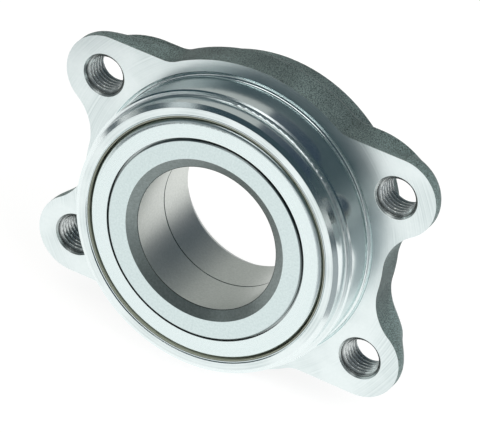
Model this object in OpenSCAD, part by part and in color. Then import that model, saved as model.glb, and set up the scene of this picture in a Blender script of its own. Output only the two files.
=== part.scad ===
// Flanged double-row angular contact wheel hub bearing. The origin lies on the spin axis in the
// machined face of the mounting flange. +Y points outboard, towards the road wheel, and +Z points up.
// The spigot on the inboard side, towards -Y, sits in the wheel carrier.

/* [Inner rings] */
// Diameter of the bore that is pressed onto the wheel hub
bore_d = 43; // [41:0.5:44.5]
// Radial thickness of the inner rings at the lands that carry the seals
ring_wall = 8.65; // [8.2:0.05:9.2]
// How far the shoulder beside the split lies below the lands
shoulder_drop = 1.25; // [1:0.05:1.6]
// Distance from the flange face to the split between the inner rings
split_offset = 0.2; // [-0.5:0.1:0.5]
// Radial height of the inboard bore chamfer
inboard_chamfer_h = 3.1; // [1:0.1:4]
// Axial length of the inboard bore chamfer
inboard_chamfer_l = 1.7; // [0.5:0.05:3]
// Radial height of the outboard bore chamfer
outboard_chamfer_h = 1.75; // [1:0.05:3]
// Axial length of the outboard bore chamfer
outboard_chamfer_l = 3; // [1:0.1:4]
// Small chamfer on the other edges of the inner rings
edge_chamfer = 0.25; // [0.1:0.05:0.4]

/* [Balls] */
// Diameter of a ball, thirteen thirty-seconds of an inch
ball_d = 10.319; // [9.8:0.001:10.6]
// Number of balls in each row
balls_per_row = 15; // [13:1:16]
// Height of the ball centres above the lands of the inner rings
ball_rise = 3.05; // [2.9:0.05:3.2]
// Distance from the split of the inner rings to each ball row
row_offset = 7.4; // [7.2:0.05:8]
// Contact angle between a ball and its raceways
contact_angle = 40; // [30:1:42]
// Outer raceway radius as a share of the ball diameter
outer_conformity = 0.525; // [0.515:0.001:0.53]
// Inner raceway radius as a share of the ball diameter
inner_conformity = 0.515; // [0.51:0.001:0.53]
// Running clearance at each contact
ball_play = 0.02; // [0.01:0.005:0.05]

/* [Cages] */
// Thickness of the cage ring behind the balls
cage_back = 1.3; // [1:0.1:1.6]
// Radial thickness of the cage
cage_wall = 4; // [3.6:0.1:4.4]
// How far the cage horns reach past the ball centres
horn_reach = 2.8; // [2.2:0.1:3]
// Clearance between a ball and its pocket
pocket_play = 0.15; // [0.1:0.01:0.2]
// Width of the slot between two horns
horn_slot = 1.4; // [1:0.1:1.8]
// Depth of the slot between two horns
horn_slot_depth = 4.6; // [3:0.1:5.5]

/* [Outer ring] */
// Radial height of the space for the seals, from the lands to the seal bores
seal_height = 7.15; // [6.9:0.05:7.4]
// How far the land between the two raceways stands in from the seal bores
middle_land_drop = 1.1; // [0.8:0.05:1.4]
// Radial thickness of the ring between a seal bore and the spigot
spigot_wall = 5.2; // [4.8:0.1:5.8]
// How far the inboard end of the ring stands back from the face of the inner ring
ring_set_back = 0.4; // [0:0.05:0.8]
// Radial step from the spigot down to its lead-in nose
nose_step = 1.6; // [1:0.05:1.8]
// Length of the lead-in nose
nose_len = 5.65; // [4.5:0.05:7]
// Radial height of the chamfer at the end of the nose
nose_chamfer_h = 1.35; // [0.8:0.05:1.6]
// Axial length of the chamfer at the end of the nose
nose_chamfer_l = 0.75; // [0.5:0.05:1.2]
// Radius of the fillet between nose and spigot
nose_fillet_r = 0.7; // [0.4:0.05:0.8]
// Chamfer at the start of the spigot
spigot_chamfer = 0.4; // [0.2:0.05:0.6]
// Radius of the relief groove at the foot of the spigot
relief_r = 0.9; // [0.6:0.05:1.1]
// How much larger in radius the forged body is than the spigot
body_step = 0.1; // [-0.3:0.05:0.6]
// How much smaller in radius the forged body is at its outboard end
body_draft = 0.5; // [0.2:0.05:0.8]
// Radius of the outboard edge of the forged body
body_edge_r = 1.3; // [0.8:0.1:1.8]
// How far the collar runs outboard past the inner rings
collar_len = 5.1; // [2:0.1:7]
// Radial step from the outboard seal bore out to the bore of the collar
collar_step = 0.4; // [0.2:0.05:0.7]
// Chamfer at the mouth of the two seal bores
mouth_chamfer = 0.3; // [0.1:0.05:0.5]

/* [Flange] */
// Thickness of the flange
flange_t = 11.5; // [10:0.1:13]
// How far the round part of the flange stands out from the body
flange_rim = 4.5; // [3.8:0.1:5.5]
// Size of the broken forged edge on the outboard side
flange_edge = 1.6; // [0.8:0.1:2.2]
// Angle by which the outboard side of the ears falls away outwards, in degrees
ear_taper = 6; // [3:0.5:9]
// Radius of the fillet between flange and body
flange_root_r = 1.5; // [0.8:0.1:2]
// Radius of each ear about its bolt hole
ear_r = 12; // [11.5:0.1:13]
// Spacing of the bolt holes across the bearing
bolt_spacing_x = 92.3; // [90:0.1:96]
// Spacing of the bolt holes up the bearing
bolt_spacing_z = 53.2; // [51:0.1:55]
// Radius of the hollows between two ears at the sides
waist_r = 15; // [12:0.5:17]
// Radius of the hollows beside the ears at the top and bottom
shoulder_r = 8; // [5:0.5:12]
// Diameter of the bolt holes, across the roots of their threads
thread_d = 12; // [10:0.5:12.5]
// Radial height of the countersink at each end of a bolt hole
countersink_h = 0.55; // [0.3:0.05:0.9]

/* [Seals] */
// Axial length of the seal cases
case_len = 3.4; // [3.1:0.1:3.8]
// Gap between the back of a seal case and the balls
seal_to_ball = 0.54; // [0.3:0.02:1]
// How deep a seal case sits below the end of its bore
case_recess = 0.2; // [0.1:0.05:0.4]
// Steel thickness of the seal cases
case_wall = 0.7; // [0.6:0.05:0.8]
// Steel thickness of the slingers
slinger_wall = 0.6; // [0.5:0.05:0.7]
// Axial length of the slinger sleeves
sleeve_len = 2.2; // [2:0.1:2.4]
// Thickness of the magnetic encoder ring
encoder_t = 1.1; // [0.8:0.05:1.1]
// Steel thickness of the encoder cover, which bends round the edge of the encoder
cover_wall = 0.4; // [0.3:0.05:0.45]
// Thickness of the rubber lips
lip_t = 0.4; // [0.3:0.05:0.45]
// Radial room for the lips between a slinger sleeve and the flange of its seal case
lip_room = 1.6; // [1.2:0.1:2]
// How far the lip that runs on a slinger disc leans outwards
lip_lean = 1.2; // [0.8:0.1:1.4]
// Radial running gap between a slinger rim and its seal case
rim_gap = 0.45; // [0.3:0.05:0.6]
// Running gap between a seal lip and the slinger
lip_gap = 0.1; // [0.05:0.01:0.2]
// How far the inboard face of the cover stands behind the inner ring face
cover_recess = 0.3; // [0.2:0.05:0.5]

/* [Hidden] */
$fn = 96;
function two_digits(i) = i < 10 ? str("0", i) : str(i);
function ball_names(row) = [for (i = [1:balls_per_row]) str(row, "_ball_", two_digits(i))];

// A solid that is cut away runs this far past the face that it opens
past = 1;
// How far one part of the forging reaches into the next
overlap = 2.5;
// The hollows bite this much deeper than a true tangent, so that they meet the round parts cleanly
bite = 0.02;

// Radii, from the bore outwards
bore_r = bore_d / 2;
land_r = bore_r + ring_wall;
low_shoulder_r = land_r - shoulder_drop;
ball_r = ball_d / 2;
pitch_r = land_r + ball_rise;
seal_bore_r = land_r + seal_height;
middle_land_r = seal_bore_r - middle_land_drop;
collar_bore_r = seal_bore_r + collar_step;
spigot_r = seal_bore_r + spigot_wall;
nose_r = spigot_r - nose_step;
body_r = spigot_r + body_step;
flange_r = body_r + flange_rim;

// Places along the spin axis, counted outboard from the flange face: each row of balls is followed
// outwards by its seal, by the end of the seal bore and by the face of its inner ring
split = split_offset;
inboard_row = split - row_offset;
outboard_row = split + row_offset;
row_to_face = ball_r + seal_to_ball + case_len + case_recess + ring_set_back;
inboard_end = inboard_row - row_to_face;
outboard_end = outboard_row + row_to_face;
spigot_len = -inboard_end - ring_set_back;
body_len = outboard_end + collar_len;

// The raceways touch the balls at the contact angle, so their centres are off the ball centre
outer_race_r = outer_conformity * ball_d;
inner_race_r = inner_conformity * ball_d;
outer_race_shift = outer_race_r - ball_r - ball_play;
inner_race_shift = inner_race_r - ball_r - ball_play;

// Bolt holes and ears
ear_x = bolt_spacing_x / 2;
ear_y = bolt_spacing_z / 2;
thread_r = thread_d / 2;
ear_angle = atan2(ear_y, ear_x);
ear_distance = norm([ear_x, ear_y]);
ear_t = flange_t - (ear_distance - flange_r) * tan(ear_taper);

// Centre of the hollow between two ears, at equal distance from the ear and the round flange
waist_to_ear = ear_r + waist_r;
waist_to_axis = flange_r + waist_r;
waist_cos = (ear_distance ^ 2 + waist_to_axis ^ 2 - waist_to_ear ^ 2) / (2 * ear_distance * waist_to_axis);
waist_angle = ear_angle - acos(waist_cos);
waist_centre = waist_to_axis * [cos(waist_angle), sin(waist_angle)];

// Centre of the hollow between the flat top of an ear and the round flange
ear_top = ear_y + ear_r;
shoulder_to_axis = flange_r + shoulder_r;
shoulder_x = sqrt(shoulder_to_axis ^ 2 - (ear_top + shoulder_r) ^ 2);
shoulder_centre = [shoulder_x, ear_top + shoulder_r];
shoulder_angle = atan2(shoulder_centre[1], shoulder_centre[0]);

// Seals: the cover, the encoder and the slinger lie one behind the other
cover_face = inboard_end + cover_recess;
encoder_face = cover_face + cover_wall;
slinger_face = encoder_face + encoder_t;
cover_bend_r = cover_wall + encoder_t;
case_inner_r = seal_bore_r - case_wall;
rim_r = case_inner_r - rim_gap;
sleeve_r = land_r + slinger_wall;
case_face = case_recess - spigot_len;
case_flange = case_face + case_len - case_wall;
case_flange_r = sleeve_r + lip_room;

// Turns a shape made about Z so that its axis is the spin axis, with Z towards +Y
module on_spin_axis() {
    rotate([-90, 0, 0]) children();
}

// Revolves a half section drawn with the radius along X and the axis along Y
module turned() {
    on_spin_axis() rotate_extrude($fn = 180) children();
}

// Mirrors an inboard part about the plane of the split to make the outboard one
module about_split() {
    translate([0, split, 0]) mirror([0, 1, 0]) translate([0, -split, 0]) children();
}

// Broken outboard edge in two steps, at radius r, where side is 1 on a rim and -1 round a hollow
function broken_edge(r, side) = [
    [r, flange_t - flange_edge],
    [r - side * flange_edge * (1 - sqrt(0.5)), flange_t - flange_edge * (1 - sqrt(0.5))],
    [r - side * flange_edge, flange_t]
];

// A round part of the flange
module flange_disc(r) {
    rotate_extrude($fn = 180) polygon(concat([[0, 0], [r, 0]], broken_edge(r, 1), [[0, flange_t]]));
}

// Cutter for a hollow in the outline
module hollow(r) {
    top = flange_t + past;
    rotate_extrude($fn = 180) {
        polygon(concat([[0, -past], [r, -past]], broken_edge(r, -1), [[r + flange_edge, top], [0, top]]));
    }
}

// Material between two round parts, hollowed out about a centre that lies outside the flange
module hollowed_web(centre, r, corner) {
    difference() {
        linear_extrude(flange_t) polygon([[0, 0], corner, centre]);
        translate(centre) hollow(r + bite);
    }
}

// Bar with the flat edge that joins the two ears at the top
module ear_bar() {
    rotate([90, 0, 90]) translate([0, 0, -ear_x]) linear_extrude(2 * ear_x) {
        polygon(concat([[ear_y, 0], [ear_top, 0]], broken_edge(ear_top, 1), [[ear_y, flange_t]]));
    }
}

// Takes the outboard side of the ears down towards their tips
module ear_taper_cut() {
    reach = ear_distance + ear_r + past;
    rotate_extrude($fn = 180) polygon([
        [flange_r, flange_t],
        [reach, flange_t - (reach - flange_r) * tan(ear_taper)],
        [reach, flange_t + past],
        [flange_r, flange_t + past],
    ]);
}

module flange() {
    difference() {
        union() {
            flange_disc(flange_r);
            for (y = [0, 1]) mirror([0, y, 0]) ear_bar();
            for (x = [0, 1], y = [0, 1]) mirror([x, 0, 0]) mirror([0, y, 0]) {
                translate([ear_x, ear_y]) flange_disc(ear_r);
                hollowed_web(waist_centre, waist_r, [ear_x, ear_y]);
                hollowed_web(shoulder_centre, shoulder_r, [shoulder_x, ear_top - overlap]);
            }
        }
        translate([0, 0, -past]) cylinder(r = body_r - overlap, h = flange_t + 2 * past, $fn = 180);
        ear_taper_cut();
    }
}

// Half section of the ring without flange or raceways
module barrel_section() {
    shoulder = nose_len - spigot_len;
    difference() {
        polygon([
            [seal_bore_r + mouth_chamfer, -spigot_len],
            [nose_r - nose_chamfer_h, -spigot_len],
            [nose_r, nose_chamfer_l - spigot_len],
            [nose_r, shoulder - nose_fillet_r],
            [nose_r + nose_fillet_r, shoulder],
            [spigot_r - spigot_chamfer, shoulder],
            [spigot_r, shoulder + spigot_chamfer],
            [spigot_r, 0],
            [body_r + flange_root_r, 0],
            [body_r + flange_root_r, flange_t],
            [body_r, flange_t + flange_root_r],
            [body_r - body_draft, body_len - body_edge_r],
            [body_r - body_draft - body_edge_r, body_len],
            [collar_bore_r + mouth_chamfer, body_len],
            [collar_bore_r, body_len - mouth_chamfer],
            [collar_bore_r, outboard_end],
            [seal_bore_r, outboard_end],
            [seal_bore_r, outboard_row],
            [middle_land_r, outboard_row],
            [middle_land_r, inboard_row],
            [seal_bore_r, inboard_row],
            [seal_bore_r, mouth_chamfer - spigot_len],
        ]);
        translate([nose_r + nose_fillet_r, shoulder - nose_fillet_r]) circle(nose_fillet_r);
        translate([body_r + flange_root_r, flange_t + flange_root_r]) circle(flange_root_r);
    }
    translate([body_r - body_draft - body_edge_r, body_len - body_edge_r]) circle(body_edge_r);
}

// Ring swept by a raceway's round section, where side is 1 inboard and -1 outboard
module outer_race(row, side) {
    translate([
        pitch_r - outer_race_shift * cos(contact_angle),
        row - side * outer_race_shift * sin(contact_angle)
    ]) circle(outer_race_r);
}

// Countersink at 45 degrees that opens along Z, with its small end at the origin
module countersink() {
    depth = countersink_h + past;
    cylinder(r1 = thread_r, r2 = thread_r + depth, h = depth);
}

// Hole for one bolt thread with a countersink at each end
module bolt_hole() {
    translate([0, 0, -past]) cylinder(r = thread_r, h = flange_t + 2 * past);
    translate([0, 0, countersink_h]) mirror([0, 0, 1]) countersink();
    translate([0, 0, ear_t - countersink_h]) countersink();
}

// The forged and ground outer ring with its flange, both outer raceways and both seal bores
module outer_ring() {
    color("slategray") difference() {
        union() {
            on_spin_axis() flange();
            turned() barrel_section();
        }
        turned() {
            outer_race(inboard_row, 1);
            outer_race(outboard_row, -1);
            translate([spigot_r + relief_r / 3, -relief_r / 3]) circle(relief_r);
        }
        for (x = [-1, 1], y = [-1, 1]) {
            on_spin_axis() translate([x * ear_x, y * ear_y, 0]) bolt_hole();
        }
    }
}

// Half section of an inner ring seen as the inboard one, with its own bore chamfer
module inner_ring_section(chamfer_h, chamfer_l) {
    difference() {
        polygon([
            [bore_r + chamfer_h, inboard_end],
            [land_r - edge_chamfer, inboard_end],
            [land_r, inboard_end + edge_chamfer],
            [land_r, inboard_row],
            [low_shoulder_r, inboard_row],
            [low_shoulder_r, split - edge_chamfer],
            [low_shoulder_r - edge_chamfer, split],
            [bore_r + edge_chamfer, split],
            [bore_r, split - edge_chamfer],
            [bore_r, inboard_end + chamfer_l],
        ]);
        translate([
            pitch_r + inner_race_shift * cos(contact_angle),
            inboard_row + inner_race_shift * sin(contact_angle)
        ]) circle(inner_race_r);
    }
}

module inboard_inner_ring() {
    color("gainsboro") turned() inner_ring_section(inboard_chamfer_h, inboard_chamfer_l);
}

module outboard_inner_ring() {
    color("gainsboro") about_split() turned() inner_ring_section(outboard_chamfer_h, outboard_chamfer_l);
}

module ball(row, i) {
    color("silver") on_spin_axis() rotate([0, 0, 360 * (i - 1) / balls_per_row]) {
        translate([pitch_r, 0, row]) sphere(ball_r);
    }
}

// Snap cage: a ring behind the balls, with a pocket for each ball and a pair of horns between two
module row_cage() {
    step = 360 / balls_per_row;
    tip = inboard_row - horn_reach;
    back = inboard_row + ball_r + pocket_play + cage_back;
    color("antiquewhite") on_spin_axis() difference() {
        translate([0, 0, tip]) cylinder(r = pitch_r + cage_wall / 2, h = back - tip, $fn = 180);
        translate([0, 0, tip - past]) {
            cylinder(r = pitch_r - cage_wall / 2, h = back - tip + 2 * past, $fn = 180);
        }
        for (i = [0:balls_per_row - 1]) {
            rotate([0, 0, i * step]) translate([pitch_r, 0, inboard_row]) sphere(ball_r + pocket_play);
            rotate([0, 0, (i + 0.5) * step]) {
                translate([pitch_r - cage_wall, -horn_slot / 2, tip - past]) {
                    cube([2 * cage_wall, horn_slot, horn_slot_depth + past]);
                }
            }
        }
    }
}

module inboard_cage() {
    row_cage();
}

module outboard_cage() {
    about_split() row_cage();
}

// Half section of a slinger: a sleeve on the land and a disc at its outer end
module slinger_section(face, rim) {
    translate([land_r, face]) square([slinger_wall, sleeve_len]);
    translate([land_r, face]) square([rim - land_r, slinger_wall]);
}

module inboard_slinger() {
    color("lightsteelblue") turned() slinger_section(slinger_face, rim_r - cover_wall);
}

// The disc of the outboard slinger is flush with the end of its inner ring
module outboard_slinger() {
    color("lightsteelblue") about_split() turned() slinger_section(cover_face, rim_r);
}

module encoder_ring() {
    color("dimgray") turned() {
        translate([sleeve_r, encoder_face]) square([rim_r - cover_bend_r - sleeve_r, encoder_t]);
    }
}

// Half section of a solid disc with a rounded inboard edge
module bent_rim(r, bend_r, depth) {
    difference() {
        union() {
            square([r - bend_r, depth]);
            translate([r - bend_r, bend_r]) square([bend_r, depth]);
            translate([r - bend_r, bend_r]) circle(bend_r);
        }
        translate([0, depth]) square([r + past, 2 * bend_r + past]);
    }
}

// Pressed cover over the encoder, with its rim turned back over the edge of the slinger
module encoder_cover() {
    depth = cover_bend_r + slinger_wall;
    color("lightgray") turned() translate([0, cover_face]) difference() {
        bent_rim(rim_r, cover_bend_r, depth);
        translate([0, cover_wall]) bent_rim(rim_r - cover_wall, cover_bend_r - cover_wall, depth);
        translate([0, -past]) square([sleeve_r, depth + 2 * past]);
    }
}

// Half section of a seal case: a wall in the seal bore and a flange towards the inner ring
module case_section() {
    translate([case_inner_r, case_face]) square([case_wall, case_len]);
    translate([case_flange_r, case_flange]) square([seal_bore_r - case_flange_r, case_wall]);
}

module inboard_seal_case() {
    color("darkkhaki") turned() case_section();
}

module outboard_seal_case() {
    color("darkkhaki") about_split() turned() case_section();
}

// Half section of the rubber on a seal case: one lip runs on the sleeve and one on the slinger disc
module lip_section(disc_back) {
    polygon([
        [case_flange_r, case_flange + case_wall],
        [case_flange_r - lip_t, case_flange + case_wall],
        [sleeve_r + lip_gap, case_flange],
        [sleeve_r + lip_gap + lip_t, case_flange - lip_t],
        [case_flange_r, case_flange - lip_t],
        [case_flange_r + lip_lean, disc_back + lip_gap],
        [case_flange_r + lip_lean + lip_t, disc_back + lip_gap],
        [case_flange_r + 2 * lip_t, case_flange - lip_t],
        [case_flange_r + lip_lean + lip_t, case_flange - lip_t],
        [case_flange_r + lip_lean + lip_t, case_flange],
        [case_flange_r, case_flange],
    ]);
}

module inboard_seal_lip() {
    color("darkolivegreen") turned() lip_section(slinger_face + slinger_wall);
}

module outboard_seal_lip() {
    color("darkolivegreen") about_split() turned() lip_section(cover_face + slinger_wall);
}

outer_ring();
inboard_inner_ring();
outboard_inner_ring();
inboard_cage();
outboard_cage();
inboard_slinger();
encoder_ring();
encoder_cover();
inboard_seal_case();
inboard_seal_lip();
outboard_slinger();
outboard_seal_case();
outboard_seal_lip();
for (i = [1:balls_per_row]) {
    ball(inboard_row, i);
    ball(outboard_row, i);
}
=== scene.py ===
# %% [markdown]
# # A flanged wheel bearing, dressed for a studio picture
# The solids of this bearing come from CAD and are never moved here. This lesson gives them their
# finishes, rounds the ears of the forging, cuts the threads, and sets the camera and the light of a
# plain product picture.

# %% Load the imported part
import bmesh
import bpy
import math
from mathutils import Matrix, Vector


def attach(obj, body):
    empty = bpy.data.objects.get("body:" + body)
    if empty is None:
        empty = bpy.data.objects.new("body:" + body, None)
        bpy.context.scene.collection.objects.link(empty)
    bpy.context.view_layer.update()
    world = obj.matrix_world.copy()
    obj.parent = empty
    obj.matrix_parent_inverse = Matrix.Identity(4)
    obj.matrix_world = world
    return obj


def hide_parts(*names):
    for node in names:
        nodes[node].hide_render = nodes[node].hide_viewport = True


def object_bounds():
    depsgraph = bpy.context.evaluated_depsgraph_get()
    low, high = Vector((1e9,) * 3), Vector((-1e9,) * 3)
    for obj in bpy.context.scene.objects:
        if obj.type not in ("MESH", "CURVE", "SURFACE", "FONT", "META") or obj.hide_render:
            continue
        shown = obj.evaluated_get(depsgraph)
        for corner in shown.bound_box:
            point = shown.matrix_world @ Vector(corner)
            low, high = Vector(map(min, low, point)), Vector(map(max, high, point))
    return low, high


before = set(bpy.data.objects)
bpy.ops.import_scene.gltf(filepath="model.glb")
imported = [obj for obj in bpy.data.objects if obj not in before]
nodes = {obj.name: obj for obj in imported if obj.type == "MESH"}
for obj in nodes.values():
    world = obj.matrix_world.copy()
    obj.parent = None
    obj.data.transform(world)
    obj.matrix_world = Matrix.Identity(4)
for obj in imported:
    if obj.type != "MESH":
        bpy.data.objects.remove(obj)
cad_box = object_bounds()

# %% [markdown]
# ## Millimetres
# Blender counts in metres and the maker in millimetres, so one number turns one into the other.
# The sizes further on are those of the drawing: y is measured along the spin axis from the mounting
# face, and grows outboard. A finish often changes where one face meets the next, so the sizes also
# say where each finish begins and ends.

# %% Millimetres
mm = 0.001
box_mm = [round((cad_box[1][i] - cad_box[0][i]) / mm, 1) for i in range(3)]
print("the part is", box_mm, "mm long, deep and high")

# %% [markdown]
# ## Camera
# The picture was taken from in front, above and to the right with a long lens. The direction, the
# roll and the distance were worked out from the circles of the bore, the seal and the threaded
# holes, which are all seen as ellipses whose shape gives the viewing angle.

# %% Camera
image_w, image_h = 480, 433
azimuth, elevation, roll = map(math.radians, (21.791, 31.162, 11.487))
focal_px = 3900.0
distance = 1089.3 * mm
origin_px = (231.656, 216.716)

level = math.cos(elevation)
back = Vector((math.sin(azimuth) * level, -math.cos(azimuth) * level, math.sin(elevation)))
level_right = Vector((0, 0, 1)).cross(back).normalized()
level_up = back.cross(level_right)
right = math.cos(roll) * level_right + math.sin(roll) * level_up
up = -math.sin(roll) * level_right + math.cos(roll) * level_up
px = distance / focal_px
sideways = -right * (origin_px[0] - image_w / 2) * px
upwards = up * (origin_px[1] - image_h / 2) * px
camera_place = back * distance + sideways + upwards

camera_data = bpy.data.cameras.new("studio_camera")
camera_data.sensor_width = 36
camera_data.lens = 36 * focal_px / image_w
camera_data.clip_start, camera_data.clip_end = 0.05, 20
camera = bpy.data.objects.new("studio_camera", camera_data)
bpy.context.scene.collection.objects.link(camera)
camera_turn = Matrix((right, up, back)).transposed().to_4x4()
camera.matrix_world = Matrix.Translation(camera_place) @ camera_turn
bpy.context.scene.camera = camera
print("camera at", [round(v, 3) for v in camera_place], "lens", camera_data.lens)

# %% [markdown]
# ## Colours and nodes
# Colours are those of the real surfaces, as sRGB hex values. A shader works in linear light, so one
# function turns the first into the second. One more function adds any node: it sets the node's
# options, fills its sockets, and hands back its outputs, ready to go into the next node.

# %% Helpers
def linear(hex_colour):
    """The linear colour of an sRGB hex value."""
    parts = [int(hex_colour[i:i + 2], 16) / 255 for i in (1, 3, 5)]
    rgb = [c / 12.92 if c <= 0.04045 else ((c + 0.055) / 1.055) ** 2.4 for c in parts]
    return tuple(rgb) + (1.0,)


def add(tree, kind, values=(), **options):
    """Adds a node and returns its outputs.

    Values fill its sockets, in order from a list or by name from a dictionary.
    """
    node = tree.nodes.new(kind)
    for name, option in options.items():
        setattr(node, name, option)
    for key, value in values.items() if isinstance(values, dict) else enumerate(values):
        if isinstance(value, bpy.types.NodeSocket):
            tree.links.new(value, node.inputs[key])
        else:
            node.inputs[key].default_value = value
    return node.outputs


MATH = "ShaderNodeMath"
VECTOR = "ShaderNodeVectorMath"
print("sRGB #808080 is", round(linear("#808080")[0], 3), "in linear light")

# %% [markdown]
# ## Where a point is on the part
# Every finish here is laid out about the spin axis, so each material starts from the same three
# things: the point in millimetres, its distance r from the axis, and its place y along it. A band
# between two radii or two places is then one Compare node. The point is in millimetres, so the
# scale of a texture is the number of its cells in a millimetre: a scale of 2 gives cells of 0.5 mm.

# %% Place and bands
# A face is found by its place, give or take slack, and every point of the part is nearer than far
slack, far = 0.03, 90.0


def place_on_part(tree):
    """The point in millimetres, its distance from the spin axis, and its place along the axis."""
    point = {"Vector": add(tree, "ShaderNodeTexCoord")["Object"], "Scale": 1 / mm}
    place = add(tree, VECTOR, point, operation="SCALE")[0]
    across = add(tree, VECTOR, [place, (1, 0, 1)], operation="MULTIPLY")[0]
    r = add(tree, VECTOR, [across], operation="LENGTH")["Value"]
    y = add(tree, "ShaderNodeSeparateXYZ", [place])["Y"]
    return place, r, y


def band(tree, value, low, high):
    """1 where the value lies between low and high, 0 elsewhere."""
    middle, half = (low + high) / 2, (high - low) / 2
    return add(tree, MATH, [value, middle, half], operation="COMPARE")[0]


def either(tree, *masks):
    """1 where any of the masks is 1."""
    joined = masks[0]
    for mask in masks[1:]:
        joined = add(tree, MATH, [joined, mask], operation="MAXIMUM")[0]
    return joined


def new_material(name):
    """An empty material and its node tree."""
    material = bpy.data.materials.new(name)
    material.use_nodes = True
    material.node_tree.nodes.clear()
    return material, material.node_tree


def dress(material, *names):
    """Gives the material to the named solids."""
    for name in names:
        data = nodes[name].data
        data.materials.clear()
        data.materials.append(material)
    print(material.name, "on", len(names), "nodes")


corner_r = math.hypot(cad_box[1].x, cad_box[1].z) / mm
print("no point is further than", round(corner_r, 1), "mm from the spin axis")

# %% [markdown]
# ## Turning and grinding marks
# A tool or a grinding wheel leaves fine rings about the spin axis. A noise that is read at (r, y)
# and at nothing else gives such rings, uneven as the real ones are. Real grinding lines are about
# 0.02 mm apart, too fine to show in the picture, so they are drawn 0.4 to 0.6 mm apart.
# The encoder's cover and the slingers are pressed from thin stainless sheet, and the marks on them
# are those of the press tool. The cover also has a crease at its outer edge, where its rim is
# rolled over the encoder, and a second Bump node draws this crease as a smooth step in r.

# %% Pressed stainless sheet
def ring_marks(tree, r, y, spacing_mm):
    """A noise drawn out into rings about the spin axis."""
    about_axis = add(tree, "ShaderNodeCombineXYZ", [r, y, 0.0])[0]
    marks = {"Vector": about_axis, "Scale": 1 / spacing_mm, "Detail": 3.0, "Roughness": 0.6}
    return add(tree, "ShaderNodeTexNoise", marks)[0]


def ring_steel(name, dark, light, roughness, spacing_mm, depth_mm, crease_r=0.0):
    """Sheet steel with marks about the axis, and with a crease where crease_r is given."""
    crease_w, crease_h = 0.7, 0.09
    material, tree = new_material(name)
    place, r, y = place_on_part(tree)
    marks = ring_marks(tree, r, y, spacing_mm)
    # Clouds about 0.8 mm across, left by the rolls
    clouds = add(tree, "ShaderNodeTexNoise", {"Vector": place, "Scale": 1.2, "Detail": 5.0})[0]
    mixed = {"Factor": 0.5, "A": clouds, "B": marks}
    shade = add(tree, "ShaderNodeMix", mixed, data_type="FLOAT")[0]
    tones = {"Factor": shade, "A": linear(dark), "B": linear(light)}
    tone = add(tree, "ShaderNodeMix", tones, data_type="RGBA")[2]
    uneven = {"Value": marks, "To Min": roughness - 0.06, "To Max": roughness + 0.06}
    rough = add(tree, "ShaderNodeMapRange", uneven)[0]
    height = {"Strength": 0.5, "Distance": depth_mm * mm, "Height": marks}
    relief = add(tree, "ShaderNodeBump", height)[0]
    if crease_r:
        step = {"Value": r, "From Min": crease_r, "From Max": crease_r + crease_w}
        crease = add(tree, "ShaderNodeMapRange", step, interpolation_type="SMOOTHSTEP")[0]
        height = {"Strength": 0.8, "Distance": crease_h * mm, "Height": crease, "Normal": relief}
        relief = add(tree, "ShaderNodeBump", height)[0]
    look = {"Base Color": tone, "Metallic": 1.0, "Roughness": rough, "Normal": relief}
    steel = add(tree, "ShaderNodeBsdfPrincipled", look)[0]
    add(tree, "ShaderNodeOutputMaterial", {"Surface": steel})
    return material


# The cover is drawn bright, and the slingers keep the duller skin of the rolling mill
rolled_rim_r = 35.1
cover_steel = ring_steel("pressed_stainless_cover", "#D6E4E4", "#EDF7F7", 0.27, 0.5, 0.004,
                         crease_r=rolled_rim_r)
dress(cover_steel, "encoder_cover")
slinger_steel = ring_steel("rolled_stainless_slinger", "#B9C2C2", "#CDD5D5", 0.38, 0.6, 0.004)
dress(slinger_steel, "inboard_slinger", "outboard_slinger")

# %% [markdown]
# ## Inner rings: ground, honed and left black
# The faces and raceways of an inner ring are ground to a bright satin. Its bore is honed, which
# leaves it duller and warmer. The chamfers are turned before hardening and never touched again, so
# they keep a dark grey skin. The small edges where the two rings meet are darker still, which is
# why the split shows as a thin dark line. The edge beside the seal land is darkened too, as painted
# shade of the gap between the ring and the cover. Face, bore and chamfer each have their tone,
# mixed by where the point lies, and the small edges are darkened last.

# %% Inner rings
# The bore, its wide chamfer, the land for the seal, and both ends
bore_r, bore_chamfer_r, land_r = 21.5, 24.6, 30.15
inboard_end, outboard_end = -16.9, 17.3


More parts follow.
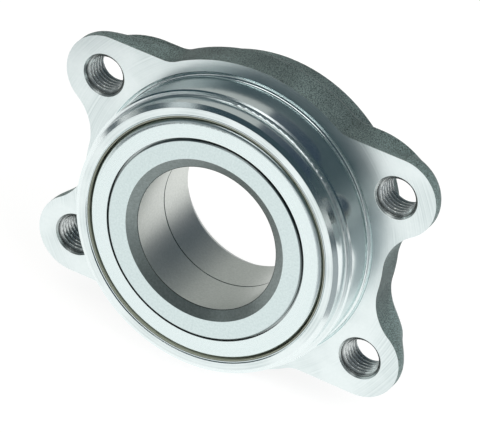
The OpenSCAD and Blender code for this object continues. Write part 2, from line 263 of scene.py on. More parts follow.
def inner_ring_steel():
    land_edge_low, land_edge_high, bore_edge_w = 0.36, 0.1, 0.24
    material, tree = new_material("ground_and_honed_bearing_steel")
    place, r, y = place_on_part(tree)
    in_bore = band(tree, r, 0.0, bore_r + slack)
    below_faces = band(tree, y, inboard_end + slack, outboard_end - slack)
    chamfer = band(tree, r, bore_r + slack, bore_chamfer_r)
    on_chamfer = add(tree, MATH, [chamfer, below_faces], operation="MULTIPLY")[0]
    edge = band(tree, r, bore_r + 0.02, bore_r + bore_edge_w)
    bore_edge = add(tree, MATH, [edge, below_faces], operation="MULTIPLY")[0]
    # Painted shade: the edge beside the seal land is darkened for the gap between the ring and the
    # cover
    land_edge = band(tree, r, land_r - land_edge_low, land_r + land_edge_high)
    land_edge_painted_shade = add(tree, MATH, [land_edge, 0.6], operation="MULTIPLY")[0]
    dark_split_and_painted_gap_shade = either(tree, land_edge_painted_shade, bore_edge)

    marks = ring_marks(tree, r, y, 0.4)
    # Speckle about 0.6 mm across
    grain = {"Vector": place, "Scale": 1.6, "Detail": 6.0, "Roughness": 0.65}
    speckle = add(tree, "ShaderNodeTexNoise", grain)[0]
    spread = {"Value": speckle, "From Min": 0.3, "From Max": 0.7}
    uneven = add(tree, "ShaderNodeMapRange", spread)[0]
    tones = [("#C9D8D8", "#DDEAEA"), ("#D6DAD5", "#E8EBE7"), ("#727C7B", "#8B9594")]
    face, bore, skin = [
        add(tree, "ShaderNodeMix", {"Factor": uneven, "A": linear(dark), "B": linear(light)},
            data_type="RGBA")[2]
        for dark, light in tones
    ]
    tone = face
    # The last tone darkens the split line, and the edge beside the seal land as painted shade
    for mask, other in ((in_bore, bore), (on_chamfer, skin), (dark_split_and_painted_gap_shade, linear("#4C5554"))):
        mixed = {"Factor": mask, "A": tone, "B": other}
        tone = add(tree, "ShaderNodeMix", mixed, data_type="RGBA")[2]
    rough = add(tree, MATH, [in_bore, 0.14, 0.3], operation="MULTIPLY_ADD")[0]
    metallic = add(tree, MATH, [on_chamfer, -0.2, 1.0], operation="MULTIPLY_ADD")[0]
    height = {"Strength": 0.5, "Distance": 0.005 * mm, "Height": marks}
    relief = add(tree, "ShaderNodeBump", height)[0]
    look = {"Base Color": tone, "Metallic": metallic, "Roughness": rough, "Normal": relief}
    steel = add(tree, "ShaderNodeBsdfPrincipled", look)[0]
    add(tree, "ShaderNodeOutputMaterial", {"Surface": steel})
    return material


dress(inner_ring_steel(), "inboard_inner_ring", "outboard_inner_ring")

# %% [markdown]
# ## Outer ring: forged, turned and ground
# One forging carries three finishes. The sides of the flange and the body keep the skin of the
# forging, shot-blasted to a dark grey grain. The mounting face is turned and shows the tool's
# rings. The spigot is ground smooth and reflects like a dull mirror. Each finish ends at an edge of
# the solid, so again the place of a point tells which one it has. The four bolt holes are alike, so
# a point is folded into one quarter of the flange before its distance from a hole is taken.

# %% Where the outer ring is machined
# The bolt rectangle, the roots of the threads, and the height of the countersinks
ear_x, ear_z = 46.15, 26.6
hole_r, countersink_h = 6.0, 0.55
# Both ends of the ring, the relief at the foot of the spigot, and the bore of the collar
spigot_end, body_end = -16.5, 22.4
relief_r, relief_depth = 43.7, 1.2
collar_bore_r = 37.7
# How far bare steel reaches past the relief, the holes, the collar's bore and its end face
past_relief, past_hole, past_collar, past_end = 0.6, 0.08, 0.5, 0.05


def from_hole_axis(tree, place):
    """The distance from the axis of the nearest of the four bolt holes."""
    folded = add(tree, VECTOR, [place], operation="ABSOLUTE")[0]
    from_hole = add(tree, VECTOR, [folded, (ear_x, 0, ear_z)], operation="SUBTRACT")[0]
    across_hole = add(tree, VECTOR, [from_hole, (1, 0, 1)], operation="MULTIPLY")[0]
    return add(tree, VECTOR, [across_hole], operation="LENGTH")["Value"]


def machined_masks(tree, place, r, y):
    """1 on all machined faces, and 1 on the turned faces alone."""
    collar_face = band(tree, y, body_end - past_end, far)
    sunk = [band(tree, r, 0.0, relief_r + past_relief), band(tree, y, -far, relief_depth)]
    relief = add(tree, MATH, sunk, operation="MULTIPLY")[0]
    rim_r = hole_r + countersink_h + past_hole
    in_hole = band(tree, from_hole_axis(tree, place), 0.0, rim_r)
    in_collar = band(tree, r, 0.0, collar_bore_r + past_collar)
    machined = either(tree, band(tree, y, -far, slack), relief, in_hole, in_collar, collar_face)
    level = [band(tree, y, -slack, slack), band(tree, r, relief_r, far)]
    mounting_face = add(tree, MATH, level, operation="MULTIPLY")[0]
    nose_face = band(tree, y, spigot_end - slack, spigot_end + slack)
    return machined, either(tree, mounting_face, nose_face, collar_face)


print("bolt holes are", round(math.hypot(ear_x, ear_z), 2), "mm from the spin axis")

# %% [markdown]
# ### Turned and ground faces
# A grinding wheel does not reach into the fillet behind the nose, which stays as it was turned.
# The tool's rings on the mounting face come and go in patches, where the tool chattered as it
# crossed the gaps between the ears. They are drawn about 0.55 mm apart, a large soft noise fades
# them in and out, and the ground spigot has no visible rings at all.

# %% Turned and ground steel
fillet_y, fillet_h = -10.85, 0.8
fillet_low_r, fillet_high_r = 40.0, 42.1


def machined_steel(tree, place, r, y, turned):
    hole = band(tree, from_hole_axis(tree, place), 0.0, hole_r + countersink_h + 0.02)
    marks = ring_marks(tree, r, y, 0.55)
    # The patches of chatter are about 17 mm across
    clouds = add(tree, "ShaderNodeTexNoise", {"Vector": place, "Scale": 0.06, "Detail": 2.0})[0]
    spread = {"Value": clouds, "From Min": 0.4, "From Max": 0.62}
    patches = add(tree, "ShaderNodeMapRange", spread)[0]
    spread = {"Value": marks, "From Min": 0.35, "From Max": 0.65}
    streaks = add(tree, "ShaderNodeMapRange", spread)[0]
    turned_patches = add(tree, MATH, [patches, turned], operation="MULTIPLY")[0]
    chatter = add(tree, MATH, [streaks, turned_patches], operation="MULTIPLY")[0]

    # A faint grain about 1 mm across, on ground and turned faces alike
    fine = {"Vector": place, "Scale": 0.9, "Detail": 6.0, "Roughness": 0.65}
    grain = add(tree, "ShaderNodeTexNoise", fine)[0]
    tones = {"Factor": grain, "A": linear("#E3EDED"), "B": linear("#F0F8F8")}
    bright = add(tree, "ShaderNodeMix", tones, data_type="RGBA")[2]
    tones = {"Factor": chatter, "A": bright, "B": linear("#CCD8D8")}
    tone = add(tree, "ShaderNodeMix", tones, data_type="RGBA")[2]

    round_nose = [band(tree, y, fillet_y - fillet_h, fillet_y + 0.05),
                  band(tree, r, fillet_low_r, fillet_high_r)]
    in_fillet = add(tree, MATH, round_nose, operation="MULTIPLY")[0]
    dull_hole = add(tree, MATH, [hole, 2.0], operation="MULTIPLY")[0]
    dull = either(tree, turned, in_fillet, dull_hole)
    rough = add(tree, MATH, [dull, 0.12, 0.17], operation="MULTIPLY_ADD")[0]
    metallic = add(tree, MATH, [hole, -0.5, 1.0], operation="MULTIPLY_ADD")[0]
    rings = add(tree, MATH, [marks, turned], operation="MULTIPLY")[0]
    height = {"Strength": 0.6, "Distance": 0.008 * mm, "Height": rings}
    relief = add(tree, "ShaderNodeBump", height)[0]
    look = {"Base Color": tone, "Metallic": metallic, "Roughness": rough, "Normal": relief}
    return add(tree, "ShaderNodeBsdfPrincipled", look)[0]


print("turned rings run from r", relief_r, "mm outwards on the mounting face")

# %% [markdown]
# ### Forged skin
# Steel shot leaves overlapping dents about 0.3 mm across on the dark scale of the forging. Noise
# gives the uneven height, Voronoi cells the dents, and the tops are rubbed a little brighter than
# the bottoms. A large soft noise makes some areas more worn than others. The skin is also painted
# brighter further from the axis, out on the ears, as painted light. The scale is not bare metal, so
# the shader is only partly metallic.

# %% Forged skin
lumps_per_mm, dents_per_mm = 3.4, 3.0


def forged_skin(tree, place, r):
    ear_root_r, ear_side_r = 47.5, 54.0
    rugged = {"Vector": place, "Scale": lumps_per_mm, "Detail": 5.0, "Roughness": 0.72}
    lumps = add(tree, "ShaderNodeTexNoise", rugged)[0]
    cells = {"Vector": place, "Scale": dents_per_mm}
    dents = add(tree, "ShaderNodeTexVoronoi", cells)["Distance"]
    mixed = {"Factor": 0.35, "A": lumps, "B": dents}
    height = add(tree, "ShaderNodeMix", mixed, data_type="FLOAT")[0]

    spread = {"Value": height, "From Min": 0.38, "From Max": 0.54}
    rubbed = add(tree, "ShaderNodeMapRange", spread)[0]
    # Worn areas about 20 mm across
    clouds = add(tree, "ShaderNodeTexNoise", {"Vector": place, "Scale": 0.05, "Detail": 2.0})[0]
    spread = {"Value": clouds, "From Min": 0.35, "From Max": 0.65, "To Min": 0.55, "To Max": 1.0}
    worn = add(tree, "ShaderNodeMapRange", spread)[0]
    # Painted light: the skin is drawn brighter further from the axis, out on the ears
    spread = {"Value": r, "From Min": ear_root_r, "From Max": ear_side_r,
              "To Min": 0.85, "To Max": 1.45}
    painted_ear_light = add(tree, "ShaderNodeMapRange", spread)[0]
    wear_and_painted_light = add(tree, MATH, [worn, painted_ear_light], operation="MULTIPLY")[0]
    shade = add(tree, MATH, [rubbed, wear_and_painted_light], operation="MULTIPLY")[0]
    tones = {"Factor": shade, "A": linear("#10181A"), "B": linear("#8A9D9B")}
    tone = add(tree, "ShaderNodeMix", tones, data_type="RGBA")[2]
    dented = {"Strength": 0.9, "Distance": 0.14 * mm, "Height": height}
    relief = add(tree, "ShaderNodeBump", dented)[0]
    look = {"Base Color": tone, "Metallic": 0.5, "Roughness": 0.6, "Normal": relief}
    return add(tree, "ShaderNodeBsdfPrincipled", look)[0]


print("dents about", round(1 / dents_per_mm, 2), "mm across")

# %% [markdown]
# ### Three finishes in one material
# The ring is one piece of steel, so its finishes go into one material. The machined mask chooses
# between the forged skin and bare steel, and bare steel already knows where it is turned.

# %% The outer ring's material
ring_material, ring_tree = new_material("forged_turned_and_ground_steel")
ring_place, ring_r, ring_y = place_on_part(ring_tree)
machined, turned = machined_masks(ring_tree, ring_place, ring_r, ring_y)
bare = machined_steel(ring_tree, ring_place, ring_r, ring_y, turned)
skin = forged_skin(ring_tree, ring_place, ring_r)
finish = add(ring_tree, "ShaderNodeMixShader", [machined, skin, bare])
add(ring_tree, "ShaderNodeOutputMaterial", {"Surface": finish[0]})
print(ring_material.name, "has", len(ring_tree.nodes), "nodes")

# %% [markdown]
# ### Rounded ears
# A forging has no square corners: the dies round the back of each ear so that it leaves them
# freely, most of all at the tip. In the solid these edges are two plain steps. Here a copy of the
# ring takes its place: level cuts give its side wall rows of points, and each row is pulled in
# towards its bolt hole, more the further back it lies and the nearer it is to the tip. What the
# solid's steps already take off the edge is taken off the pull.

# %% How far a point is pulled in
# The flange is flange_t thick out to flange_r, and from there its back slopes to the ears' tips
flange_t, flange_r = 11.5, 47.1
edge_start, tip_round, edge_break = 3.0, 4.3, 1.6
pull_from_r, pull_full_r = 51.0, 64.5
ear_slope = math.tan(math.radians(6))


def ear_pull(x, y, z):
    """How far in millimetres a point on the side of an ear is drawn towards its bolt hole."""
    r = math.hypot(x, z)
    thickness = flange_t - (r - flange_r) * ear_slope
    behind = min(max((y - edge_start) / (thickness - edge_start), 0.0), 1.0)
    reach = min(max((r - pull_from_r) / (pull_full_r - pull_from_r), 0.0), 1.0)
    broken_off = min(max(y - (flange_t - edge_break), 0.0), edge_break)
    return reach * reach * (3 - 2 * reach) * max(tip_round * behind ** 1.5 - broken_off, 0.0)


print("pulled in behind the tip by", round(ear_pull(56.5, 8.0, 32.6), 2), "mm")

# %% [markdown]
# ### Keep the true shading
# The solid's round faces are made of flat facets, and each of its corners stores the direction that
# the true surface faces, so they look smooth. A copy that is cut and joined loses these. Each point
# that is still a point of the solid takes its direction back from there, and the new points are
# shaded by their own faces.

# %% True shading
def point_key(point):
    return tuple(round(c / mm, 3) for c in point)


def keep_true_normals(mesh, solid):
    """Shades the points of the solid as the solid does. Zero means shaded by the faces."""
    known = {}
    for corner, normal in zip(solid.loops, solid.corner_normals):
        key = point_key(solid.vertices[corner.vertex_index].co)
        known.setdefault(key, []).append(normal.vector.copy())
    shading = []
    for face in mesh.polygons:
        for i in face.vertices:
            choices = known.get(point_key(mesh.vertices[i].co), [Vector()])
            best = max(choices, key=face.normal.dot)
            shading.append(best if best.dot(face.normal) > 0.9 else Vector())
    mesh.normals_split_custom_set(shading)
    print("true normals:", sum(n.length > 0 for n in shading), "of", len(shading))


print("the solid ring has", len(nodes["outer_ring"].data.vertices), "points")

# %% [markdown]
# ### Cut and pull
# Only the walls of the ears are cut, so the round faces near the axis keep their facets. The edge
# of each bolt hole, the mounting face and everything near the axis stay where they are. The
# finished ring rides on the housing and stands in for the solid.

# %% Rounded forging
wall_cuts = (3.0, 3.8, 4.6, 5.4, 6.2, 7.0, 7.8, 8.5, 9.1)
wall_from_r = 50.0
hole_edge_r = hole_r + 0.9
join_within = 0.0005 * mm


def rounded_forging():
    ring = bmesh.new()
    ring.from_mesh(nodes["outer_ring"].data)
    bmesh.ops.remove_doubles(ring, verts=ring.verts, dist=join_within)
    for cut in wall_cuts:
        walls = [f for f in ring.faces
                 if min(math.hypot(v.co.x, v.co.z) for v in f.verts) > wall_from_r * mm]
        edges = {e for f in walls for e in f.edges}
        points = {v for f in walls for v in f.verts}
        bmesh.ops.bisect_plane(ring, geom=list(points) + list(edges) + walls, dist=join_within,
                               plane_co=(0, cut * mm, 0), plane_no=(0, 1, 0))
    moved = 0
    for point in ring.verts:
        x, y, z = (c / mm for c in point.co)
        hole = Vector((math.copysign(ear_x, x), math.copysign(ear_z, z)))
        to_hole = hole - Vector((x, z))
        pull = ear_pull(x, y, z)
        if to_hole.length >= hole_edge_r and pull > 0:
            step = to_hole.normalized() * pull * mm
            point.co += Vector((step.x, 0, step.y))
            moved += 1
    mesh = bpy.data.meshes.new("forged_ring")
    ring.to_mesh(mesh)
    ring.free()
    made = bpy.data.objects.new("forged_ring", mesh)
    bpy.context.scene.collection.objects.link(made)
    mesh.shade_smooth()
    mesh.set_sharp_from_angle(angle=math.radians(32))
    keep_true_normals(mesh, nodes["outer_ring"].data)
    print("points moved:", moved, "faces:", len(mesh.polygons))
    return made


forged_ring = rounded_forging()
forged_ring.data.materials.append(ring_material)
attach(forged_ring, "housing")
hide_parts("outer_ring")

# %% [markdown]
# ## Inside: balls, cages, encoder and lips
# Most of this is hidden until the part is taken apart, and each piece still has its own finish. The
# balls are lapped to a mirror, the cages are moulded in glass-filled polyamide, the encoder is
# rubber filled with magnetic powder, and the lips are olive nitrile rubber. One fine noise gives
# each of them its grain, and only the colours, the size and the depth differ.

# %% Balls, cages, encoder and lips
def grained(name, dark, light, roughness, grain_mm, depth_mm, metallic=0.0):
    """A finish with one even grain."""
    material, tree = new_material(name)
    place = place_on_part(tree)[0]
    fine = {"Vector": place, "Scale": 1 / grain_mm, "Detail": 4.0}
    grain = add(tree, "ShaderNodeTexNoise", fine)[0]
    tones = {"Factor": grain, "A": linear(dark), "B": linear(light)}
    tone = add(tree, "ShaderNodeMix", tones, data_type="RGBA")[2]
    height = {"Strength": 0.5, "Distance": depth_mm * mm, "Height": grain}
    relief = add(tree, "ShaderNodeBump", height)[0]
    look = {"Base Color": tone, "Metallic": metallic, "Roughness": roughness, "Normal": relief}
    surface = add(tree, "ShaderNodeBsdfPrincipled", look)[0]
    add(tree, "ShaderNodeOutputMaterial", {"Surface": surface})
    return material


lapped = grained("lapped_ball_steel", "#C9CED0", "#D3D8DA", 0.06, 3.0, 0.0002, metallic=1.0)
dress(lapped, *[name for name in nodes if "_ball_" in name])
polyamide = grained("moulded_glass_filled_polyamide", "#C8BD97", "#D6CCA8", 0.48, 0.8, 0.02)
dress(polyamide, "inboard_cage", "outboard_cage")
powder_rubber = grained("magnetic_powder_rubber", "#17181A", "#232527", 0.62, 0.4, 0.02)
dress(powder_rubber, "encoder_ring")
lip_rubber = grained("nitrile_seal_rubber", "#2B2E28", "#373A33", 0.6, 0.5, 0.02)
dress(lip_rubber, "inboard_seal_lip", "outboard_seal_lip")

# %% [markdown]
# ### Seal cases
# A seal case is a pressed steel ring under a thin skin of olive nitrile rubber. Its outer edge is
# pressed into the outer ring and stays bare steel. Where the skin begins, a thin dark line is
# painted, as painted shade of the narrow gap beside the outer ring. Edge, shaded line and skin are
# told apart by their distance from the axis.

# %% Seal cases
skin_r, case_r = 37.0, 40.0
# How far the painted shade line reaches in from the skin's edge and out past it
gap_shade_in, gap_shade_out = 0.1, 0.04


def seal_case_steel():
    material, tree = new_material("rubber_skinned_steel_case")
    place, r, _ = place_on_part(tree)
    # Moulded rubber has a grain about 0.5 mm across
    grain = add(tree, "ShaderNodeTexNoise", {"Vector": place, "Scale": 2.0, "Detail": 4.0})[0]
    tones = {"Factor": grain, "A": linear("#83897B"), "B": linear("#9DA394")}
    rubber = add(tree, "ShaderNodeMix", tones, data_type="RGBA")[2]
    bare_edge = band(tree, r, skin_r, case_r)
    tones = {"Factor": bare_edge, "A": rubber, "B": linear("#D2DCDC")}
    skinned = add(tree, "ShaderNodeMix", tones, data_type="RGBA")[2]
    # Painted shade: a thin dark line where the skin begins, for the narrow gap beside the outer
    # ring
    gap_shade_line = band(tree, r, skin_r - gap_shade_in, skin_r + gap_shade_out)
    tones = {"Factor": gap_shade_line, "A": skinned, "B": linear("#30352F")}
    tone = add(tree, "ShaderNodeMix", tones, data_type="RGBA")[2]
    height = {"Strength": 0.5, "Distance": 0.01 * mm, "Height": grain}
    relief = add(tree, "ShaderNodeBump", height)[0]
    look = {"Base Color": tone, "Metallic": bare_edge, "Roughness": 0.36, "Normal": relief}
    case = add(tree, "ShaderNodeBsdfPrincipled", look)[0]
    add(tree, "ShaderNodeOutputMaterial", {"Surface": case})
    return material


dress(seal_case_steel(), "inboard_seal_case", "outboard_seal_case")

# %% [markdown]
# ## Threads
# The four holes are tapped M12 with a fine pitch. A thread repeats turn after turn and hole after
# hole, so Geometry Nodes make it. A flat grid is rolled into a sleeve: most of its rows run down
# the inner wall and follow the thread, and the last three go round the outer wall and close the
# sleeve. The roots stand a little proud of the solid's plain bore, which would otherwise show
# through, and the outer wall is buried in the steel.

# %% Thread tree: sizes and rows
thread_pitch, thread_crest_r, ear_t = 1.5, 5.19, 10.85
root_proud, sleeve_wall = 0.02, 0.8
thread_rows, thread_columns = 122, 97
thread = bpy.data.node_groups.new("tapped_thread", "GeometryNodeTree")
thread.interface.new_socket("Geometry", in_out="OUTPUT", socket_type="NodeSocketGeometry")
thread_sizes = {
    "Pitch": thread_pitch,
    "Crest radius": thread_crest_r,
    "Root radius": hole_r - root_proud,
    "Countersink": countersink_h,
    "Depth": ear_t,
    "Outer radius": hole_r + sleeve_wall,
}
for size_name, size in thread_sizes.items():
    socket = thread.interface.new_socket(size_name, in_out="INPUT", socket_type="NodeSocketFloat")
    socket.default_value = size
thread.interface.new_socket("Finish", in_out="INPUT", socket_type="NodeSocketMaterial")
given = add(thread, "NodeGroupInput")

lattice = {"Size X": 1.0, "Size Y": 1.0, "Vertices X": thread_columns, "Vertices Y": thread_rows}
grid = add(thread, "GeometryNodeMeshGrid", lattice)["Mesh"]
flat = add(thread, "ShaderNodeSeparateXYZ", [add(thread, "GeometryNodeInputPosition")[0]])
turn = add(thread, MATH, [flat["X"], 0.5], operation="ADD")[0]
row_terms = [flat["Y"], thread_rows - 1, (thread_rows - 1) / 2]
row = add(thread, MATH, row_terms, operation="MULTIPLY_ADD")[0]
last_inner = thread_rows - 4
inner_rows = band(thread, row, -1.0, last_inner + 0.5)
far_row = band(thread, row, last_inner + 0.5, last_inner + 1.5)
closing_row = band(thread, row, last_inner + 2.5, thread_rows)
print("thread grid:", thread_rows, "rows,", thread_columns, "columns")

# %% [markdown]
# ### Down the hole
# The inner rows are spread evenly from one face of the ear to the other, and the sleeve stops just
# short of both faces. Of the last three rows the first goes to the far end on the outer wall, the
# second comes back to the near end, and the third closes the sleeve on its first row.

# %% Thread tree: depth of each row
end_gap = 0.04
share = add(thread, MATH, [row, 1 / last_inner, far_row], operation="MULTIPLY_ADD")[0]
whole = add(thread, MATH, [share, 1.0], operation="MINIMUM")[0]
not_near_end = either(thread, inner_rows, far_row)
down = add(thread, MATH, [not_near_end, whole], operation="MULTIPLY")[0]
run = add(thread, MATH, [given["Depth"], 2 * end_gap], operation="SUBTRACT")[0]
depth = add(thread, MATH, [down, run, end_gap], operation="MULTIPLY_ADD")[0]
print("a row every", round((ear_t - 2 * end_gap) / last_inner, 3), "mm")

# %% [markdown]
# ### The profile
# A metric thread has flat crests and roots with 60 degree flanks between. Going down the hole the
# phase grows by one per pitch, and going round it falls by one per turn, which makes the wall one
# continuous helix. As drawn here it winds left-handed, which is a fault: a real thread of this
# kind is right-handed, and adding the turn where it is subtracted would wind it so. At both ends
# the countersink's cone has cut the crests away, so the wall is never nearer to the axis of the
# hole than that cone.

# %% Thread tree: the wall
crest_half, root_start = 0.1, 0.42  # shares of a pitch, from the middle of the crest
turns_down = add(thread, MATH, [depth, given["Pitch"]], operation="DIVIDE")[0]
helix = add(thread, MATH, [turns_down, turn], operation="SUBTRACT")[0]
phase = add(thread, MATH, [helix], operation="FRACT")[0]
past_crest = add(thread, MATH, [phase, 0.5], operation="SUBTRACT")[0]
from_crest = add(thread, MATH, [past_crest], operation="ABSOLUTE")[0]
slope = {"Value": from_crest, "From Min": crest_half, "From Max": root_start}
flank = add(thread, "ShaderNodeMapRange", slope)[0]
radii = [given["Root radius"], given["Crest radius"]]
thread_h = add(thread, MATH, radii, operation="SUBTRACT")[0]
profile = [flank, thread_h, given["Crest radius"]]
thread_wall = add(thread, MATH, profile, operation="MULTIPLY_ADD")[0]

cone_terms = [given["Root radius"], given["Countersink"]]
cone_start = add(thread, MATH, cone_terms, operation="ADD")[0]
near_cone = add(thread, MATH, [cone_start, depth], operation="SUBTRACT")[0]
from_end = add(thread, MATH, [given["Depth"], depth], operation="SUBTRACT")[0]
far_cone = add(thread, MATH, [cone_start, from_end], operation="SUBTRACT")[0]
inner_r = either(thread, thread_wall, near_cone, far_cone)
print("thread height", round(hole_r - root_proud - thread_crest_r, 2), "mm")

# %% [markdown]
# ### Rolled up
# The place of a point across the grid is its angle round the hole. Its row gives the depth and the
# wall it belongs to, so the flat grid can be rolled up in one step. Its two sides then meet and
# are joined.

# %% Thread tree: the sleeve
on_inner_wall = either(thread, inner_rows, closing_row)
walls = {"Factor": on_inner_wall, "A": given["Outer radius"], "B": inner_r}
radius = add(thread, "ShaderNodeMix", walls, data_type="FLOAT")[0]
angle = add(thread, MATH, [turn, 2 * math.pi], operation="MULTIPLY")[0]
cosine = add(thread, MATH, [angle], operation="COSINE")[0]
across = add(thread, MATH, [radius, cosine], operation="MULTIPLY")[0]
sine = add(thread, MATH, [angle], operation="SINE")[0]
upward = add(thread, MATH, [radius, sine], operation="MULTIPLY")[0]
rolled = add(thread, "ShaderNodeCombineXYZ", [across, depth, upward])[0]
in_metres = add(thread, VECTOR, {"Vector": rolled, "Scale": mm}, operation="SCALE")[0]
placed = {"Geometry": grid, "Position": in_metres}
sleeve = add(thread, "GeometryNodeSetPosition", placed)[0]
seam = {"Geometry": sleeve, "Distance": 0.002 * mm}
closed_sleeve = add(thread, "GeometryNodeMergeByDistance", seam)[0]
print("sleeve wall", round(sleeve_wall + root_proud, 2), "mm thick at the roots")

# %% [markdown]
# ### Four copies, then a plain mesh
# The sleeve is set at each corner of the bolt rectangle. The copies are made real and given their
# finish in the tree, and the result is taken out as a plain mesh.

# %% Thread tree: copies
rectangle = {"Size X": 2 * ear_x * mm, "Size Y": 2 * ear_z * mm, "Vertices X": 2, "Vertices Y": 2}
corners = add(thread, "GeometryNodeMeshGrid", rectangle)["Mesh"]
turned_up = {"Geometry": corners, "Rotation": (math.pi / 2, 0, 0)}
upright = add(thread, "GeometryNodeTransform", turned_up)[0]
set_out = {"Points": upright, "Instance": closed_sleeve}
copies = add(thread, "GeometryNodeInstanceOnPoints", set_out)[0]
real_copies = add(thread, "GeometryNodeRealizeInstances", [copies])[0]
finished = {"Geometry": real_copies, "Material": given["Finish"]}
dressed = add(thread, "GeometryNodeSetMaterial", finished)[0]
add(thread, "NodeGroupOutput", [dressed])


def plain_mesh(name, tree, **inputs):
    """Runs a Geometry Nodes tree on an empty mesh and returns the result as a plain object."""
    holder = bpy.data.objects.new(name + "_maker", bpy.data.meshes.new(name + "_maker"))
    bpy.context.scene.collection.objects.link(holder)
    modifier = holder.modifiers.new("nodes", "NODES")
    modifier.node_group = tree
    for item in tree.interface.items_tree:
        if item.in_out == "INPUT" and item.name in inputs:
            modifier[item.identifier] = inputs[item.name]
    graph = bpy.context.evaluated_depsgraph_get()
    mesh = bpy.data.meshes.new_from_object(holder.evaluated_get(graph), depsgraph=graph)
    holder.modifiers.clear()
    bpy.data.objects.remove(holder)
    mesh.name = name
    if mesh.materials[0] is None:
        mesh.materials.pop(index=0)
    made = bpy.data.objects.new(name, mesh)
    bpy.context.scene.collection.objects.link(made)
    return made


print("thread tree has", len(thread.nodes), "nodes")

# %% [markdown]
# ### Tapped steel
# The crests are painted light, as painted highlight, and the roots dark, as painted shade in the
# hollows of the thread. So the tone follows the height of the thread, and a fine noise stands for
# the torn surface that a tap leaves. The cone of the countersink is cut by another tool and is a
# plain light grey. The finished threads ride on the housing.

# %% Threads
def tapped_steel():
    material, tree = new_material("tapped_steel")
    place = place_on_part(tree)[0]
    distance_out = from_hole_axis(tree, place)
    spread = {"Value": distance_out, "From Min": thread_crest_r, "From Max": hole_r}
    height = add(tree, "ShaderNodeMapRange", spread)[0]
    # Torn spots about 0.4 mm across
    torn = add(tree, "ShaderNodeTexNoise", {"Vector": place, "Scale": 2.5, "Detail": 4.0})[0]
    # Painted highlight: the crests are given a bright tone
    tones = {"Factor": torn, "A": linear("#D9E0DF"), "B": linear("#F2F6F6")}
    painted_crest_highlight = add(tree, "ShaderNodeMix", tones, data_type="RGBA")[2]
    # Painted shade: the tone darkens towards the roots, in the hollows of the thread
    tones = {"Factor": height, "A": painted_crest_highlight, "B": linear("#4E5554")}
    threaded = add(tree, "ShaderNodeMix", tones, data_type="RGBA")[2]
    cone = band(tree, distance_out, hole_r + 0.02, hole_r + 0.7)
    tones = {"Factor": cone, "A": threaded, "B": linear("#B4BCBB")}
    tone = add(tree, "ShaderNodeMix", tones, data_type="RGBA")[2]
    roughened = {"Strength": 0.5, "Distance": 0.004 * mm, "Height": torn}
    relief = add(tree, "ShaderNodeBump", roughened)[0]
    look = {"Base Color": tone, "Metallic": 0.8, "Roughness": 0.22, "Normal": relief}
    steel = add(tree, "ShaderNodeBsdfPrincipled", look)[0]
    add(tree, "ShaderNodeOutputMaterial", {"Surface": steel})
    return material


threads = plain_mesh("bolt_threads", thread, Finish=tapped_steel())
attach(threads, "housing")
print("threads:", len(threads.data.polygons), "faces, finish", threads.data.materials[0].name)

# %% [markdown]
# ## White table
# Bright metal shows its surroundings more than its own colour, so the stage matters as much as the
# finishes. The picture was made on a white table in a grey room, and the faces that look forward
# mirror the table. A table lit to white by lamps would flood the part with light from below. So its
# white is a glow of its own, which the camera and reflections see and which lights nothing, over a
# grey that is matt and lights the part as a real table does.

# %% White table
def stage_mesh(name, points, faces, material):
    """A mesh of the stage, which is no part of the product."""
    mesh = bpy.data.meshes.new(name)
    mesh.from_pydata(points, [], faces)
    mesh.materials.append(material)
    made = bpy.data.objects.new(name, mesh)
    bpy.context.scene.collection.objects.link(made)
    return made


def seen_directly(tree):
    """1 for rays from the camera, a reflection or clear glass, 0 for rays that carry light."""
    path = add(tree, "ShaderNodeLightPath")
    return either(tree, path["Is Camera Ray"], path["Is Glossy Ray"], path["Is Transmission Ray"])


table_white, table_tree = new_material("white_table")
matt = add(table_tree, "ShaderNodeBsdfDiffuse", {"Color": linear("#7C7C7C")})[0]
seen = seen_directly(table_tree)
glow_level = add(table_tree, MATH, [seen, 0.86], operation="MULTIPLY")[0]
glow = add(table_tree, "ShaderNodeEmission", {"Strength": glow_level})[0]
matt_and_glow = add(table_tree, "ShaderNodeAddShader", [matt, glow])[0]
add(table_tree, "ShaderNodeOutputMaterial", {"Surface": matt_and_glow})
table_half, floor_z = 3, cad_box[0].z - 0.5 * mm
table_signs = ((-1, -1), (1, -1), (1, 1), (-1, 1))
table_points = [(i * table_half, j * table_half, floor_z) for i, j in table_signs]
stage_mesh("table", table_points, [(0, 1, 2, 3)], table_white)
print("table at", round(floor_z, 4))

# %% [markdown]
# ## Cards
# A photographer shapes bright metal with cards, and so does this scene. The cards are curved
# sheets that glow evenly and are seen by reflections alone, so they throw no shadow and no light
# on matt faces. The dark card behind shades the wall of the bore and a band on the upper right of
# the spigot. The corner between spigot and flange sends the eye straight back past the camera,
# where the second dark card stands. These dark bands are what makes the spigot look like ground
# steel. A strip light above the second card draws the thin bright lines along the spigot's upper
# edges. A narrow pale gap in it lights the top of the spigot and the foot of the bore's chamfer.

# %% Cards
def glowing(name, colour, strength=1.0):
    """A surface that glows evenly, as a lit card or cloth looks in a reflection."""
    material, tree = new_material(name)
    glow = add(tree, "ShaderNodeEmission", {"Color": linear(colour), "Strength": strength})[0]
    add(tree, "ShaderNodeOutputMaterial", {"Surface": glow})
    return material


def only_in_reflections(made):
    made.visible_camera = made.visible_diffuse = made.visible_shadow = False


def card(azimuths, elevations, away, material):
    """A curved card. Azimuth 0 is straight behind the part, 90 to its right."""
    steps = 12
    low, high = [], []
    for i in range(steps + 1):
        a = math.radians(azimuths[0] + (azimuths[1] - azimuths[0]) * i / steps)
        for rim, elevation_deg in ((low, elevations[0]), (high, elevations[1])):
            z = away * math.tan(math.radians(elevation_deg))
            rim.append((away * math.sin(a), away * math.cos(a), z))
    faces = [(i, i + 1, steps + i + 2, steps + i + 1) for i in range(steps)]
    only_in_reflections(stage_mesh(material.name, low + high, faces, material))
    print(material.name, "spans", azimuths, "by", elevations, "degrees")


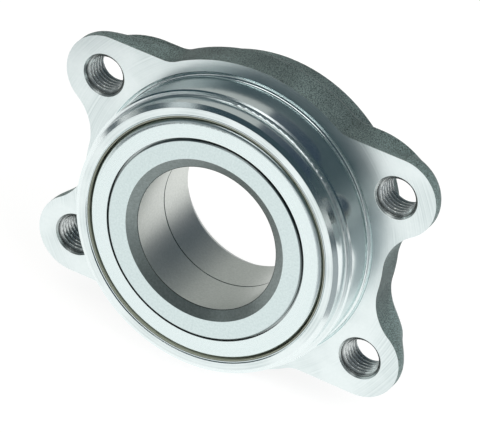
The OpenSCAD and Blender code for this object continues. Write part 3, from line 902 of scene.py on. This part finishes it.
dark_shade = glowing("dark_card_round_camera", "#36464D")
card((-6, 80), (0, 42), 0.9, glowing("dark_card_behind", "#34424F"))
card((105, 285), (4, 55), 2.2, dark_shade)
card((110, 280), (56, 72), 2.2, glowing("strip_light_above", "#FFFFFF", 2.0))
card((216, 227), (4, 22), 2.1, glowing("pale_gap_in_card", "#D5DADB"))

# %% [markdown]
# ### Cloths on the table
# The sides of the spigot mirror the table beside the part, and on white alone they would be lost
# against it. A grey cloth in front and a dark one further out tone down the right side of the
# spigot and the flange next to it. Another dark one does the same for the left side and the upper
# left ear. They too are seen by reflections alone, and each lies a little above what is under it.

# %% Cloths on the table
def cloth(name, material, lift_mm, points):
    """A flat cloth on the table, between points given as x and y in metres."""
    raised = [(x, y, floor_z + lift_mm * mm) for x, y in points]
    only_in_reflections(stage_mesh(name, raised, [(0, 1, 2, 3)], material))
    print(name, "from", points[0], "to", points[2])


cloth("cloth_right", dark_shade, 0.4, [(0.17, -0.26), (0.17, -0.9), (0.9, -0.9), (0.9, -0.26)])
grey_shade = glowing("grey_cloth", "#A9AEB1")
cloth("cloth_near", grey_shade, 0.2, [(0.055, -0.05), (0.055, -0.9), (0.9, -0.9), (0.9, -0.05)])
cloth("cloth_left", dark_shade, 0.4, [(-0.112, -0.14), (-0.9, -0.12), (-0.9, -0.9), (-0.36, -0.9)])

# %% [markdown]
# ## Room and lamps
# The grey room fills every shadow with soft light. Two large soft boxes, a warm one above on the
# left and a white one lower on the right, light the matt faces. They are hidden from reflections,
# where the table, the cards and the cloths already give the metal what it mirrors. The Standard
# view shows the colours as they are, with no film look.

# %% Room and lamps
room = bpy.data.worlds.new("grey_room")
bpy.context.scene.world = room
room.use_nodes = True
room.node_tree.nodes.clear()
grey_light = {"Color": linear("#C0C3C1"), "Strength": 0.85}
room_light = add(room.node_tree, "ShaderNodeBackground", grey_light)[0]
add(room.node_tree, "ShaderNodeOutputWorld", {"Surface": room_light})


def soft_box(name, place, side, watts, colour):
    """A square lamp that looks at the part and isn't seen in it."""
    lamp = bpy.data.lights.new(name, "AREA")
    lamp.shape, lamp.size, lamp.size_y, lamp.energy = "RECTANGLE", side, side, watts
    lamp.color = linear(colour)[:3]
    made = bpy.data.objects.new(name, lamp)
    bpy.context.scene.collection.objects.link(made)
    made.location = place
    made.rotation_mode = "QUATERNION"
    made.rotation_quaternion = (-Vector(place)).to_track_quat("-Z", "Y")
    made.visible_glossy = False
    print(name, side, "m wide,", watts, "W")


soft_box("key_box", (-0.7, -0.9, 1.2), 1.6, 10, "#FFF8EC")
soft_box("fill_box", (1.1, -0.5, 0.6), 1.1, 19, "#FFFFFF")
bpy.context.scene.view_settings.view_transform = "Standard"
